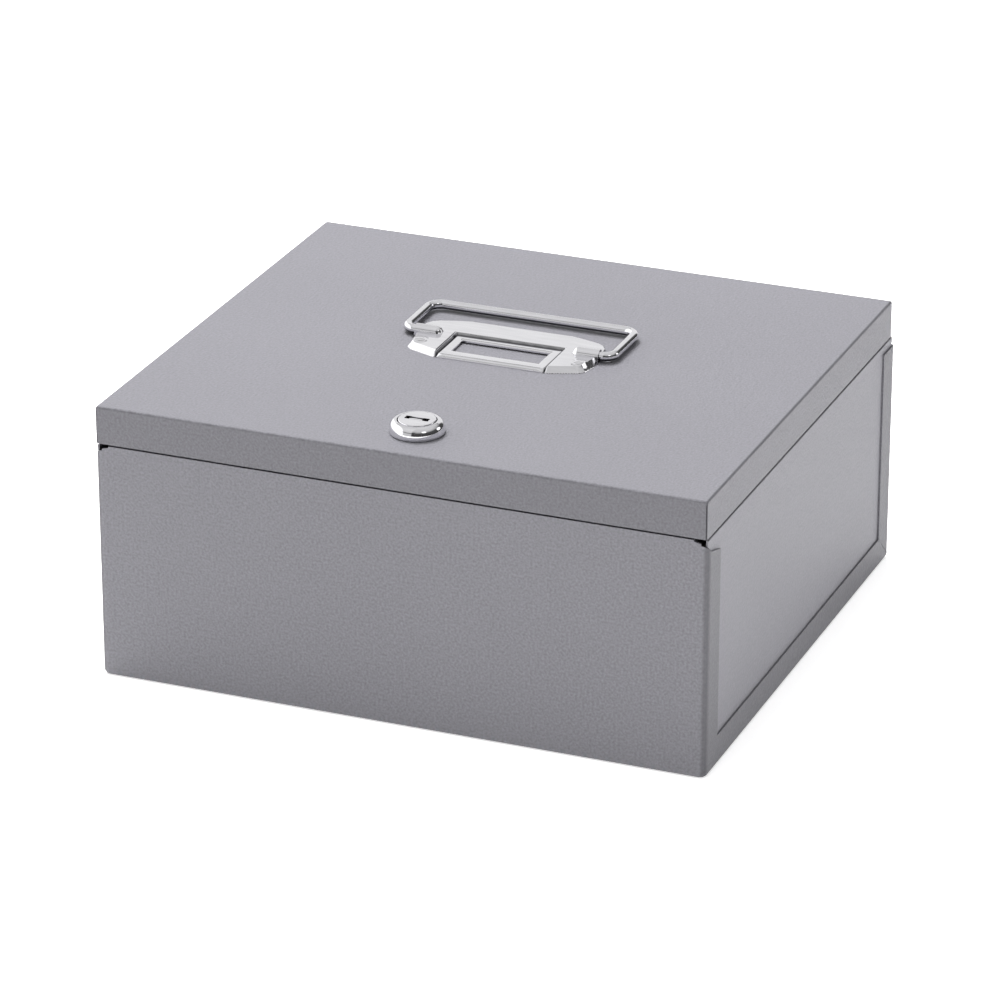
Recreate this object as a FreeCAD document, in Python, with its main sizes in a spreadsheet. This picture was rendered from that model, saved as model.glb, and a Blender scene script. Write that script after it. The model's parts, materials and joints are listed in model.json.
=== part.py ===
import FreeCAD, Part
import math
import os
import re
import Sketcher
from FreeCAD import Vector

# Fire-resistant document box: a folded steel body with insulation boards round an
# inner liner, a hinged insulated lid, a cam lock and a folding bail handle.
# Millimetres. Origin at the centre of the underside, +X to the right, +Z up, and the
# front of the box faces -Y.

DIMENSIONS = {
    # body
    "box_width": 318.0,
    "box_depth": 283.0,
    "box_height": 144.0,
    "gauge": 1.0,
    "front_radius": 4.0,
    "rear_radius": 2.5,
    "bottom_radius": 2.5,
    "flange_side": 17.0,
    "flange_bottom": 16.0,
    "shoulder_top": 123.6,
    "shoulder_width": 3.4,
    "rear_wall_top": 119.0,
    "notch_width": 7.5,
    "notch_drop": 2.6,
    "notch_step": 0.8,
    "flange_top_front": 117.4,
    "flange_top_back": 113.6,
    "tongue_front": 2.8,
    "tongue_back": 0.6,
    "slit_width": 0.6,
    # liner and insulation
    "liner_gauge": 0.8,
    "cavity_width": 286.4,
    "cavity_depth": 253.4,
    "cavity_floor": 14.8,
    "cavity_radius": 5.0,
    "rim_top": 132.0,
    "rim_foot": 119.0,
    "rim_width": 308.0,
    "rim_front": 136.0,
    "rim_rear": 134.5,
    "board_gap": 0.5,
    "board_top": 118.0,
    # lid
    "lid_width": 316.0,
    "lid_depth": 280.0,
    "lid_height": 19.5,
    "lid_top_radius": 1.4,
    "lid_side_radius": 0.8,
    "seam_width": 0.4,
    "seam_inset": 0.3,
    "fit_gap": 0.1,
    "pan_height": 132.8,
    "pan_flange": 6.0,
    # hinge
    "hinge_height": 121.75,
    "knuckle_radius": 2.5,
    "pin_radius": 1.5,
    "running_gap": 0.05,
    "hinge_length": 279.0,
    "leaf_height": 15.0,
    "leaf_gap": 0.35,
    "knuckle_gap": 0.4,
    "tab_low": 1.55,
    "tab_high": 0.9,
    # lock
    "lock_setback": 28.0,
    "bezel_radius": 13.9,
    "bezel_height": 7.0,
    "bezel_foot": 1.2,
    "bezel_bore": 9.7,
    "bezel_dome": 6.4,
    "bezel_land": 0.6,
    "bezel_lip": 0.3,
    "barrel_radius": 9.5,
    "barrel_bottom": 128.5,
    "barrel_chamfer": 0.8,
    "head_gap": 0.2,
    "washer_rim": 4.0,
    "washer_thickness": 0.6,
    "nut_rim": 4.5,
    "nut_height": 5.0,
    "plug_radius": 6.25,
    "plug_head_radius": 9.3,
    "plug_head_height": 3.6,
    "plug_bottom": 126.3,
    "plug_round": 0.5,
    "slot_length": 12.2,
    "slot_height": 3.4,
    "slot_depth": 3.2,
    "shutter_length": 9.2,
    "keyway_width": 1.6,
    "shutter_gauge": 0.6,
    "shutter_sink": 0.3,
    "shutter_corner": 1.2,
    "keyway_length": 10.0,
    "keyway_depth": 19.0,
    "cam_reach": 11.3,
    "cam_width": 8.0,
    "cam_thickness": 1.7,
    "tail_square": 5.0,
    "screw_radius": 1.5,
    "screw_length": 4.0,
    "screw_head_radius": 3.6,
    "screw_head_height": 1.8,
    "screw_slot": 1.0,
    "strike_width": 24.0,
    "strike_gap": 0.6,
    "strike_reach": 5.7,
    "strike_drop": 15.0,
    "strike_rivet_drop": 9.75,
    "strike_head": 1.2,
    # handle
    "plate_height": 3.2,
    "plate_gauge": 0.9,
    "plate_edge": 1.2,
    "frame_height": 2.0,
    "frame_border": 5.4,
    "frame_rear": 6.8,
    "window_width": 47.0,
    "window_front": 13.4,
    "window_rear": 1.4,
    "bail_pivot": 3.6,
    "bail_rod": 2.38,
    "bail_rise": 3.2,
    "bail_end": 38.0,
    "bail_elbow": 55.4,
    "bail_corner": 55.6,
    "bail_reach": 36.7,
    "elbow_radius": 5.0,
    "corner_bend": 7.0,
    "tunnel_radius": 3.2,
    "tunnel_start": 35.4,
    "tunnel_end": 50.5,
    "rivet_radius": 1.6,
    "rivet_head": 2.9,
    "rivet_dome": 1.1,
    "rivet_across": 42.6,
    "rivet_along": 8.8,
    "head_round": 0.9,
}

KNUCKLES = 9
STRIKE_RIVETS = (-7.0, 7.0)
# An arc over half a turn is drawn with this much more than half its chord as radius.
HALF_TURN = 1.0001

# Levels and faces worked out from the sheet.
LID_BOTTOM = "(box_height - lid_height)"
LID_REAR = "(lid_depth - box_depth/2)"
LID_INSIDE = "(box_height - gauge)"
HINGE_Y = "(box_depth/2 - knuckle_radius)"
LOCK_Y = "(lock_setback - box_depth/2)"
LINER_HALF_WIDTH = "(cavity_width/2 + liner_gauge)"
LINER_HALF_DEPTH = "(cavity_depth/2 + liner_gauge)"
PLUG_TOP = "(box_height + bezel_height)"
HEAD_BOTTOM = "(box_height + bezel_height - plug_head_height)"
BAIL_HEIGHT = "(box_height + bail_rise)"

doc = FreeCAD.newDocument("document_box")
dims = doc.addObject("Spreadsheet::Sheet", "dims")
for row, (alias, size) in enumerate(DIMENSIONS.items(), start=1):
    dims.set(f"A{row}", alias)
    dims.set(f"B{row}", str(size))
    dims.setAlias(f"B{row}", alias)
doc.recompute()

nodes = []


def bound(expression):
    """An expression in sheet aliases, as an expression that other objects can hold."""
    def cell(word):
        return f"dims.{word.group()}" if word.group() in DIMENSIONS else word.group()
    return re.sub(r"[a-z_]+", cell, str(expression))


def value(expression):
    return float(dims.evalExpression(bound(expression)))


def part_body(label):
    body = doc.addObject("PartDesign::Body", label)
    body.Label = label
    nodes.append(body)
    return body


def new_sketch(body, plane, offset="0"):
    """A sketch on one of the body's origin planes, moved along that plane's normal."""
    sketch = body.newObject("Sketcher::SketchObject", f"{body.Name}_sketch")
    origin_plane = next(f for f in body.Origin.OriginFeatures if f.Role == plane)
    sketch.AttachmentSupport = [(origin_plane, "")]
    sketch.MapMode = "FlatFace"
    sketch.setExpression("AttachmentOffset.Base.z", bound(offset))
    doc.recompute()
    return sketch


def bind(sketch, kind, *where, to):
    """A dimension in the sketch that follows an expression."""
    index = sketch.addConstraint(Sketcher.Constraint(kind, *where, value(to)))
    sketch.setExpression(f"Constraints[{index}]", bound(to))


def arc_between(start, end, radius):
    """Anticlockwise arc of this radius from start to end."""
    half = (end - start) * 0.5
    across = Vector(-half.y, half.x, 0).normalize()
    centre = start + half + across * math.sqrt(radius**2 - half.Length**2)
    first = math.atan2(start.y - centre.y, start.x - centre.x)
    last = math.atan2(end.y - centre.y, end.x - centre.x)
    return Part.ArcOfCircle(Part.Circle(centre, Vector(0, 0, 1), radius), first, last)


def outline(sketch, corners, arcs=None):
    """Closed anticlockwise outline. Corners are pairs of expressions, and arcs gives the
    radius of each side that is an arc, by the number of the corner it starts from."""
    arcs = arcs or {}
    first = sketch.GeometryCount
    points = [Vector(value(x), value(y), 0) for x, y in corners]
    for n, start in enumerate(points):
        end = points[(n + 1) % len(points)]
        if n in arcs:
            sketch.addGeometry(arc_between(start, end, value(arcs[n])), False)
        else:
            sketch.addGeometry(Part.LineSegment(start, end), False)
    for n in range(len(points)):
        after = first + (n + 1) % len(points)
        sketch.addConstraint(Sketcher.Constraint("Coincident", first + n, 2, after, 1))
    for n, (x, y) in enumerate(corners):
        bind(sketch, "DistanceX", -1, 1, first + n, 1, to=x)
        bind(sketch, "DistanceY", -1, 1, first + n, 1, to=y)
    for n, radius in arcs.items():
        bind(sketch, "Radius", first + n, to=radius)


def rectangle(sketch, left, right, low, high):
    outline(sketch, [(left, low), (right, low), (right, high), (left, high)])


def rounded_rectangle(sketch, half_width, low, high, low_radius, high_radius):
    """Rectangle centred on the sketch's vertical axis, with quarter-round corners."""
    corners = [(f"-({half_width} - {low_radius})", low), (f"{half_width} - {low_radius}", low),
               (half_width, f"{low} + {low_radius}"), (half_width, f"{high} - {high_radius}"),
               (f"{half_width} - {high_radius}", high),
               (f"-({half_width} - {high_radius})", high),
               (f"-({half_width})", f"{high} - {high_radius}"),
               (f"-({half_width})", f"{low} + {low_radius}")]
    outline(sketch, corners, {1: low_radius, 3: high_radius, 5: high_radius, 7: low_radius})


def circle(sketch, across, along, radius):
    centre = Vector(value(across), value(along), 0)
    index = sketch.addGeometry(Part.Circle(centre, Vector(0, 0, 1), value(radius)), False)
    bind(sketch, "DistanceX", -1, 1, index, 3, to=across)
    bind(sketch, "DistanceY", -1, 1, index, 3, to=along)
    bind(sketch, "Radius", index, to=radius)


def extrude(body, kind, sketch, length, forward=True):
    """Pad or Pocket along the sketch's normal, or against it when forward is False."""
    before = body.Shape.Volume if body.Tip else 0.0
    feature = body.newObject(f"PartDesign::{kind}", f"{body.Name}_{kind.lower()}")
    feature.Profile = sketch
    feature.setExpression("Length", bound(length))
    feature.Reversed = (kind == "Pocket") == forward
    doc.recompute()
    change = body.Shape.Volume - before
    if (kind == "Pad") != (change > 0) or abs(change) < 1e-6:
        raise ValueError(f"{feature.Name} changed the volume by {change}")
    return feature


def pad(body, plane, offset, length, draw, forward=True):
    sketch = new_sketch(body, plane, offset)
    draw(sketch)
    return extrude(body, "Pad", sketch, length, forward)


def pocket(body, plane, offset, length, draw, forward=True):
    sketch = new_sketch(body, plane, offset)
    draw(sketch)
    return extrude(body, "Pocket", sketch, length, forward)


def block(body, kind, x_span, y_span, z_span):
    """Rectangular pad or pocket between pairs of expressions."""
    sketch = new_sketch(body, "XY_Plane", z_span[0])
    rectangle(sketch, x_span[0], x_span[1], y_span[0], y_span[1])
    return extrude(body, kind, sketch, f"({z_span[1]}) - ({z_span[0]})")


def drill(body, across, along, radius, low, high):
    """Round pocket along Z."""
    sketch = new_sketch(body, "XY_Plane", low)
    circle(sketch, across, along, radius)
    return extrude(body, "Pocket", sketch, f"({high}) - ({low})")


def round_edges(body, radius, wanted, kind="Fillet"):
    """Fillet or chamfer on every edge of the body that wanted() accepts."""
    base = body.Tip
    names = [f"Edge{n}" for n, edge in enumerate(base.Shape.Edges, start=1) if wanted(edge)]
    if not names:
        raise ValueError(f"no edge to round on {body.Name}")
    feature = body.newObject(f"PartDesign::{kind}", f"{body.Name}_{kind.lower()}")
    feature.Base = (base, names)
    feature.setExpression("Radius" if kind == "Fillet" else "Size", bound(radius))
    doc.recompute()
    return feature


def near(number, expression):
    return abs(number - value(expression)) < 1e-4


def upright(edge, x_far=None, y_at=None):
    """Straight edge along Z, with |X| and Y at the given expressions."""
    box = edge.BoundBox
    straight = box.XLength < 1e-6 and box.YLength < 1e-6
    across = x_far is None or near(abs(box.XMin), x_far)
    return straight and across and (y_at is None or near(box.YMin, y_at))


def level(edge, height):
    """Edge that lies wholly at one height."""
    return near(edge.BoundBox.ZMin, height) and near(edge.BoundBox.ZMax, height)


def mirrored(body, feature):
    """The feature's copy on the other side of the box's middle plane."""
    copy = body.newObject("PartDesign::Mirrored", f"{body.Name}_mirrored")
    copy.Originals = [feature]
    side = next(f for f in body.Origin.OriginFeatures if f.Role == "YZ_Plane")
    copy.MirrorPlane = (side, [""])
    body.Tip = copy
    doc.recompute()
    return copy


def slab(label, x_span, y_span, z_span):
    """Cut board: a box between pairs of expressions."""
    board = doc.addObject("Part::Box", label)
    board.Label = label
    spans = {"x": x_span, "y": y_span, "z": z_span}
    for side, (axis, (low, high)) in zip(("Length", "Width", "Height"), spans.items()):
        board.setExpression(side, bound(f"({high}) - ({low})"))
        board.setExpression(f"Placement.Base.{axis}", bound(low))
    nodes.append(board)
    return board


def outer_shell():
    """Front, floor and rear in one folded sheet, with flanges that lap the side panels."""
    body = part_body("outer_shell")
    half_x, half_y = "box_width/2", "box_depth/2"
    block(body, "Pad", ("-" + half_x, half_x), ("-" + half_y, half_y), ("0", "shoulder_top"))
    round_edges(body, "front_radius", lambda e: upright(e, half_x, "-box_depth/2"))
    round_edges(body, "rear_radius", lambda e: upright(e, half_x, half_y))
    round_edges(body, "bottom_radius", lambda e: level(e, "0"))
    inner_x, inner_y = "box_width/2 - gauge", "box_depth/2 - gauge"
    pocket(body, "XY_Plane", "gauge", "shoulder_top - gauge",
           lambda s: rounded_rectangle(s, inner_x, f"-({inner_y})", inner_y,
                                       "(front_radius - gauge)", "(rear_radius - gauge)"))
    # side windows that leave only the flanges
    pocket(body, "YZ_Plane", "-box_width/2", "box_width",
           lambda s: rectangle(s, "flange_side - box_depth/2", "box_depth/2 - flange_side",
                               "flange_bottom", "shoulder_top"))
    # the rear wall and its flanges stop below the hinge
    block(body, "Pocket", ("-box_width/2", half_x),
          ("box_depth/2 - flange_side", half_y), ("rear_wall_top", "shoulder_top"))
    # front shoulder folded inwards under the lid
    block(body, "Pad", ("notch_width - box_width/2", "box_width/2 - notch_width"),
          ("gauge/2 - box_depth/2", "gauge + shoulder_width - box_depth/2"),
          ("shoulder_top - gauge", "shoulder_top"))
    # relief notches at the ends of the front fold
    for side in ("", "-"):
        corners = [("box_width/2 - notch_width", "shoulder_top - notch_step"),
                   ("box_width/2", "shoulder_top - notch_drop"),
                   ("box_width/2", "shoulder_top"),
                   ("box_width/2 - notch_width", "shoulder_top")]
        if side:
            corners = [(f"-({x})", z) for x, z in reversed(corners)]
        pocket(body, "XZ_Plane", half_y, "front_radius", lambda s: outline(s, corners),
               forward=False)
    # the side flanges slope down from the front corner
    slope = [("-box_depth/2", "shoulder_top - notch_drop"),
             ("front_radius - box_depth/2", "flange_top_front"),
             ("flange_side - box_depth/2", "flange_top_back"),
             ("flange_side - box_depth/2", "shoulder_top"),
             ("-box_depth/2", "shoulder_top")]
    for start in ("-box_width/2", "box_width/2 - front_radius"):
        pocket(body, "YZ_Plane", start, "front_radius", lambda s: outline(s, slope))
    # mitre slits between the floor flange and the rear flange
    foot_y, inner_y = "box_depth/2 - rear_radius", "box_depth/2 - flange_bottom - slit_width"
    slit = [(foot_y, "rear_radius"), (foot_y, "rear_radius + slit_width"),
            (inner_y, "flange_bottom + fit_gap"), (inner_y, "flange_bottom")]
    for near_side in ("-box_width/2", "box_width/2 - gauge"):
        pocket(body, "YZ_Plane", near_side, "gauge", lambda s: outline(s, slit))
    return body


def side_panel(label, sign):
    """Recessed side sheet with its top folded inwards."""
    body = part_body(label)
    inside = "box_width/2 - 2*gauge"
    corners = [("front_radius - box_depth/2", "gauge"),
               ("box_depth/2 - rear_radius", "gauge"),
               ("box_depth/2 - rear_radius", "rear_wall_top + gauge/2"),
               ("box_depth/2 - rear_radius + gauge", "rear_wall_top + 1.5*gauge"),
               ("box_depth/2 - rear_radius + gauge", "shoulder_top"),
               ("1.6*gauge - box_depth/2", "shoulder_top"),
               ("1.6*gauge - box_depth/2", "flange_top_front + tongue_front"),
               ("front_radius - box_depth/2", "flange_top_front + tongue_back")]
    first, forward = (inside, True) if sign > 0 else (f"-({inside})", False)
    pad(body, "YZ_Plane", first, "gauge", lambda s: outline(s, corners), forward)
    span = ("rim_width/2", "box_width/2 - 1.5*gauge")
    if sign < 0:
        span = (f"-({span[1]})", f"-({span[0]})")
    block(body, "Pad", span, ("2*gauge + shoulder_width - box_depth/2", "rim_rear - 2*gauge"),
          ("shoulder_top - gauge", "shoulder_top"))
    round_edges(body, "gauge - fit_gap", lambda e: level(e, "shoulder_top")
                and near(abs(e.BoundBox.Center.x), "box_width/2 - gauge"))
    return body


def inner_liner():
    """Tub with a rolled rim that stands up inside the lid."""
    body = part_body("inner_liner")
    outer_bend = "(cavity_radius + liner_gauge)"

    def rim(inset):
        def draw(sketch):
            rounded_rectangle(sketch, f"(rim_width/2 - {inset})", f"{inset} - rim_front",
                              f"rim_rear - {inset}", "cavity_radius", "cavity_radius")
        return draw

    def tub(half_x, half_y, bend):
        def draw(sketch):
            rounded_rectangle(sketch, f"({half_x})", f"-({half_y})", half_y, bend, bend)
        return draw

    pad(body, "XY_Plane", "rim_foot", "rim_top - rim_foot", rim("0"))
    pocket(body, "XY_Plane", "rim_foot", "rim_top - liner_gauge - rim_foot", rim("liner_gauge"))
    pad(body, "XY_Plane", "cavity_floor - liner_gauge", "rim_top - cavity_floor + liner_gauge",
        tub(LINER_HALF_WIDTH, LINER_HALF_DEPTH, outer_bend))
    pocket(body, "XY_Plane", "cavity_floor", "rim_top - cavity_floor",
           tub("cavity_width/2", "cavity_depth/2", "cavity_radius"))
    round_edges(body, "liner_gauge - fit_gap", lambda e: level(e, "rim_top"))
    return body


def insulation_boards():
    """Fire-resistant boards that fill the space between the body and the liner."""
    side_out = "box_width/2 - 2*gauge - board_gap"
    side_in = f"{LINER_HALF_WIDTH} + board_gap"
    front_out = "box_depth/2 - 2*gauge"
    front_in = f"{LINER_HALF_DEPTH} + board_gap"
    rear_out = "box_depth/2 - rear_radius"
    low = "cavity_floor - liner_gauge + board_gap/2"
    slab("board_bottom", (f"-({side_out})", side_out), (f"-({front_out})", front_out),
         ("gauge", "cavity_floor - liner_gauge"))
    inner_x = LINER_HALF_WIDTH
    slab("board_front", (f"-({inner_x})", inner_x), (f"-({front_out})", f"-({front_in})"),
         (low, "board_top"))
    slab("board_rear", (f"-({inner_x})", inner_x), (front_in, rear_out), (low, "board_top"))
    slab("board_left", (f"-({side_out})", f"-({side_in})"), (f"-({front_out})", rear_out),
         (low, "board_top"))
    slab("board_right", (side_in, side_out), (f"-({front_out})", rear_out),
         (low, "board_top"))


def strike():
    """Angle on the liner's front wall that the cam turns under, and its two rivets."""
    top = "plug_bottom + strike_gap + gauge"
    face = "-cavity_depth/2"
    body = part_body("strike_plate")
    half = "strike_width/2"
    block(body, "Pad", ("-" + half, half), (face, f"{face} + gauge"),
          (f"{top} - strike_drop", top))
    block(body, "Pad", ("-" + half, half), (f"{face} + gauge/2", f"{face} + strike_reach"),
          (f"{top} - gauge", top))
    height = f"{top} - strike_rivet_drop"
    pocket(body, "XZ_Plane", f"-({face})", "gauge",
           lambda s: [circle(s, x, height, "rivet_radius") for x in STRIKE_RIVETS],
           forward=False)
    rivets = part_body("strike_rivets")
    # the shanks pass through the angle and end flush with the back of the liner
    pad(rivets, "XZ_Plane", LINER_HALF_DEPTH, "gauge + liner_gauge",
        lambda s: [circle(s, x, height, "rivet_radius") for x in STRIKE_RIVETS],
        forward=False)
    pad(rivets, "XZ_Plane", f"-({face}) - gauge", "strike_head",
        lambda s: [circle(s, x, height, "rivet_head") for x in STRIKE_RIVETS],
        forward=False)
    round_edges(rivets, "head_round",
                lambda e: near(e.BoundBox.YMin, f"{face} + gauge + strike_head"))
    # holes for the shanks in the liner's wall
    pocket(liner, "XZ_Plane", LINER_HALF_DEPTH, "liner_gauge",
           lambda s: [circle(s, x, height, "rivet_radius") for x in STRIKE_RIVETS],
           forward=False)


def hinge():
    """Full-length hinge: two leaves with alternate knuckles on one pin."""
    pitch = f"(hinge_length/{KNUCKLES})"
    bore = "pin_radius + running_gap"

    def knuckle_spans(first):
        for n in range(first, KNUCKLES, 2):
            yield f"{n}*{pitch} - hinge_length/2 + knuckle_gap/2", f"{pitch} - knuckle_gap"

    def leaf(label, first, plate_y, plate_z, tab_z):
        body = part_body(label)
        block(body, "Pad", ("-hinge_length/2", "hinge_length/2"), plate_y, plate_z)
        for start, length in knuckle_spans(first):
            pad(body, "YZ_Plane", start, length,
                lambda s: circle(s, HINGE_Y, "hinge_height", "knuckle_radius"))
            pad(body, "YZ_Plane", start, length,
                lambda s: rectangle(s, plate_y[0], plate_y[1], tab_z[0], tab_z[1]))
        pocket(body, "YZ_Plane", "-hinge_length/2", "hinge_length",
               lambda s: circle(s, HINGE_Y, "hinge_height", bore))
        return body

    wall = "box_depth/2 - gauge"
    low_top = "hinge_height - knuckle_radius - leaf_gap"
    leaf("hinge_leaf_lower", 0, (f"{wall} - gauge", wall), (f"{low_top} - leaf_height", low_top),
         (f"{low_top} - fit_gap", "hinge_height - tab_low"))
    skirt = f"{LID_REAR} - gauge"
    high_low = "hinge_height + knuckle_radius + leaf_gap"
    leaf("hinge_leaf_upper", 1, (f"{skirt} - gauge", skirt), (high_low, f"{high_low} + leaf_height"),
         ("hinge_height + tab_high", f"{high_low} + fit_gap"))
    pin = doc.addObject("Part::Cylinder", "hinge_pin")
    pin.Label = "hinge_pin"
    pin.setExpression("Radius", bound("pin_radius"))
    pin.setExpression("Height", bound("hinge_length"))
    pin.Placement.Rotation = FreeCAD.Rotation(Vector(0, 1, 0), 90)
    pin.setExpression("Placement.Base.x", bound("-hinge_length/2"))
    pin.setExpression("Placement.Base.y", bound(HINGE_Y))
    pin.setExpression("Placement.Base.z", bound("hinge_height"))
    nodes.append(pin)


def lid_shell():
    """Shallow folded lid with a butt seam at each front corner."""
    body = part_body("lid_shell")
    half = "lid_width/2"
    block(body, "Pad", ("-" + half, half), ("-box_depth/2", LID_REAR), (LID_BOTTOM, "box_height"))
    round_edges(body, "lid_side_radius", upright)
    round_edges(body, "lid_top_radius", lambda e: level(e, "box_height"))
    block(body, "Pocket", ("gauge - lid_width/2", "lid_width/2 - gauge"),
          ("gauge - box_depth/2", f"{LID_REAR} - gauge"), (LID_BOTTOM, LID_INSIDE))
    for start in ("lid_width/2 - seam_inset - seam_width", "seam_inset - lid_width/2"):
        block(body, "Pocket", (start, f"{start} + seam_width"),
              ("-box_depth/2", "gauge - box_depth/2"),
              (LID_BOTTOM, "box_height - lid_top_radius - seam_inset"))
    drill(body, "0", LOCK_Y, "barrel_radius", LID_INSIDE, "box_height")
    for side in ("", "-"):
        drill(body, f"{side}rivet_across", "-rivet_along", "rivet_radius",
              LID_INSIDE, "box_height")
    return body


def lid_filling():
    """Insulation under the lid's top and the tray that closes it in."""
    half = "lid_width/2 - gauge - fit_gap"
    front, rear = "fit_gap + gauge - box_depth/2", f"{LID_REAR} - 2*gauge - fit_gap"
    pan = part_body("lid_inner_pan")
    block(pan, "Pad", (f"-({half})", half), (front, rear), ("pan_height", "pan_height + pan_flange"))
    inner = f"{half} - liner_gauge"
    block(pan, "Pocket", (f"-({inner})", inner),
          (f"{front} + liner_gauge", f"{rear} - liner_gauge"),
          ("pan_height + liner_gauge", "pan_height + pan_flange"))
    round_edges(pan, "liner_gauge - fit_gap", lambda e: level(e, "pan_height"))
    drill(pan, "0", LOCK_Y, "barrel_radius + gauge", "pan_height", "pan_height + liner_gauge")
    board = part_body("lid_insulation")
    inset = "(liner_gauge + board_gap)"
    block(board, "Pad", (f"-({half} - {inset})", f"{half} - {inset}"),
          (f"{front} + {inset}", f"{rear} - {inset}"),
          ("pan_height + liner_gauge", LID_INSIDE))
    drill(board, "0", LOCK_Y, "1.9*barrel_radius", "pan_height + liner_gauge", LID_INSIDE)
    for side in ("", "-"):
        drill(board, f"{side}rivet_across", "-rivet_along", "3*rivet_radius",
              f"{LID_INSIDE} - 3", LID_INSIDE)


def lock_body():
    """Bezel, threaded barrel, washer and nut: the parts of the lock fixed to the lid."""
    bezel = part_body("lock_bezel")
    sketch = new_sketch(bezel, "XZ_Plane", f"-({LOCK_Y})")
    outline(sketch, [("bezel_bore", "box_height"), ("bezel_radius", "box_height"),
                     ("bezel_radius", "box_height + bezel_foot"),
                     ("bezel_bore + bezel_land", PLUG_TOP),
                     ("bezel_bore", f"{PLUG_TOP} - bezel_lip")], {2: "bezel_dome"})
    revolve(bezel, sketch)
    barrel = part_body("lock_cylinder")
    pad(barrel, "XY_Plane", "barrel_bottom", f"{HEAD_BOTTOM} - head_gap - barrel_bottom",
        lambda s: circle(s, "0", LOCK_Y, "barrel_radius"))
    round_edges(barrel, "barrel_chamfer", lambda e: level(e, "barrel_bottom"), "Chamfer")
    drill(barrel, "0", LOCK_Y, "plug_radius + running_gap", "barrel_bottom",
          f"{HEAD_BOTTOM} - head_gap")
    washer = part_body("lock_washer")
    pad(washer, "XY_Plane", f"{LID_INSIDE} - washer_thickness", "washer_thickness",
        lambda s: [circle(s, "0", LOCK_Y, "barrel_radius + washer_rim"),
                   circle(s, "0", LOCK_Y, "barrel_radius")])
    nut = part_body("lock_nut")
    across = "(barrel_radius + nut_rim)"
    corners = [(f"{across}*cos({60 * n})", f"{LOCK_Y} + {across}*sin({60 * n})")
               for n in range(6)]
    sketch = new_sketch(nut, "XY_Plane", f"{LID_INSIDE} - washer_thickness - nut_height")
    outline(sketch, corners)
    circle(sketch, "0", LOCK_Y, "barrel_radius")
    extrude(nut, "Pad", sketch, "nut_height")


def revolve(body, sketch):
    """Full turn of the sketch about the lock's upright axis."""
    line = sketch.addGeometry(Part.LineSegment(Vector(0, 0, 0), Vector(0, 10, 0)), True)
    sketch.addConstraint(Sketcher.Constraint("Coincident", line, 1, -1, 1))
    sketch.addConstraint(Sketcher.Constraint("Vertical", line))
    sketch.addConstraint(Sketcher.Constraint("DistanceY", line, 1, line, 2, 10.0))
    doc.recompute()
    feature = body.newObject("PartDesign::Revolution", f"{body.Name}_revolution")
    feature.Profile = sketch
    feature.ReferenceAxis = (sketch, ["V_Axis"])
    feature.Angle = 360
    doc.recompute()
    return feature


def lock_plug():
    """Turning plug with its keyway, and the dust shutter that rides in its mouth."""
    body = part_body("lock_plug")
    pad(body, "XY_Plane", "plug_bottom", f"{HEAD_BOTTOM} - plug_bottom",
        lambda s: circle(s, "0", LOCK_Y, "plug_radius"))
    pad(body, "XY_Plane", HEAD_BOTTOM, "plug_head_height",
        lambda s: circle(s, "0", LOCK_Y, "plug_head_radius"))
    round_edges(body, "plug_round", lambda e: level(e, PLUG_TOP))
    half = "tail_square/2"
    block(body, "Pad", ("-" + half, half), (f"{LOCK_Y} - {half}", f"{LOCK_Y} + {half}"),
          ("plug_bottom - cam_thickness", "plug_bottom"))
    block(body, "Pocket", ("-slot_length/2", "slot_length/2"),
          (f"{LOCK_Y} - slot_height/2", f"{LOCK_Y} + slot_height/2"),
          (f"{PLUG_TOP} - slot_depth", PLUG_TOP))
    block(body, "Pocket", ("-keyway_length/2", "keyway_length/2"),
          (f"{LOCK_Y} - keyway_width/2", f"{LOCK_Y} + keyway_width/2"),
          (f"{PLUG_TOP} - keyway_depth", f"{PLUG_TOP} - slot_depth"))
    drill(body, "0", LOCK_Y, "screw_radius", "plug_bottom - cam_thickness",
          "plug_bottom + screw_length")
    shutter = part_body("keyway_shutter")
    shutter_top = f"{PLUG_TOP} - shutter_sink"
    block(shutter, "Pad", ("fit_gap - slot_length/2", "shutter_length - slot_length/2"),
          (f"{LOCK_Y} - slot_height/2 + fit_gap", f"{LOCK_Y} + slot_height/2 - fit_gap"),
          (f"{shutter_top} - shutter_gauge", shutter_top))
    round_edges(shutter, "shutter_corner", lambda e: upright(e, "slot_length/2 - fit_gap"))


def cam_parts():
    """Cam on the plug's square tail, and the screw that holds it."""
    cam = part_body("cam")
    half, low = "cam_width/2", "plug_bottom - cam_thickness"
    sketch = new_sketch(cam, "XY_Plane", low)
    outline(sketch, [(f"-{half}", f"{LOCK_Y} - {half}"),
                     (f"cam_reach - {half}", f"{LOCK_Y} - {half}"),
                     (f"cam_reach - {half}", f"{LOCK_Y} + {half}"),
                     (f"-{half}", f"{LOCK_Y} + {half}")],
            {1: f"{half}*{HALF_TURN}", 3: f"{half}*{HALF_TURN}"})
    extrude(cam, "Pad", sketch, "cam_thickness")
    square = "tail_square/2"
    block(cam, "Pocket", ("-" + square, square), (f"{LOCK_Y} - {square}", f"{LOCK_Y} + {square}"),
          (low, "plug_bottom"))
    screw = part_body("cam_screw")
    head = f"{low} - screw_head_height"
    pad(screw, "XY_Plane", head, "screw_head_height",
        lambda s: circle(s, "0", LOCK_Y, "screw_head_radius"))
    round_edges(screw, "plug_round", lambda e: level(e, head))
    pad(screw, "XY_Plane", low, "cam_thickness + screw_length",
        lambda s: circle(s, "0", LOCK_Y, "screw_radius"))
    block(screw, "Pocket", ("-screw_head_radius", "screw_head_radius"),
          (f"{LOCK_Y} - screw_slot/2", f"{LOCK_Y} + screw_slot/2"),
          (head, f"{head} + screw_slot"))


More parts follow.
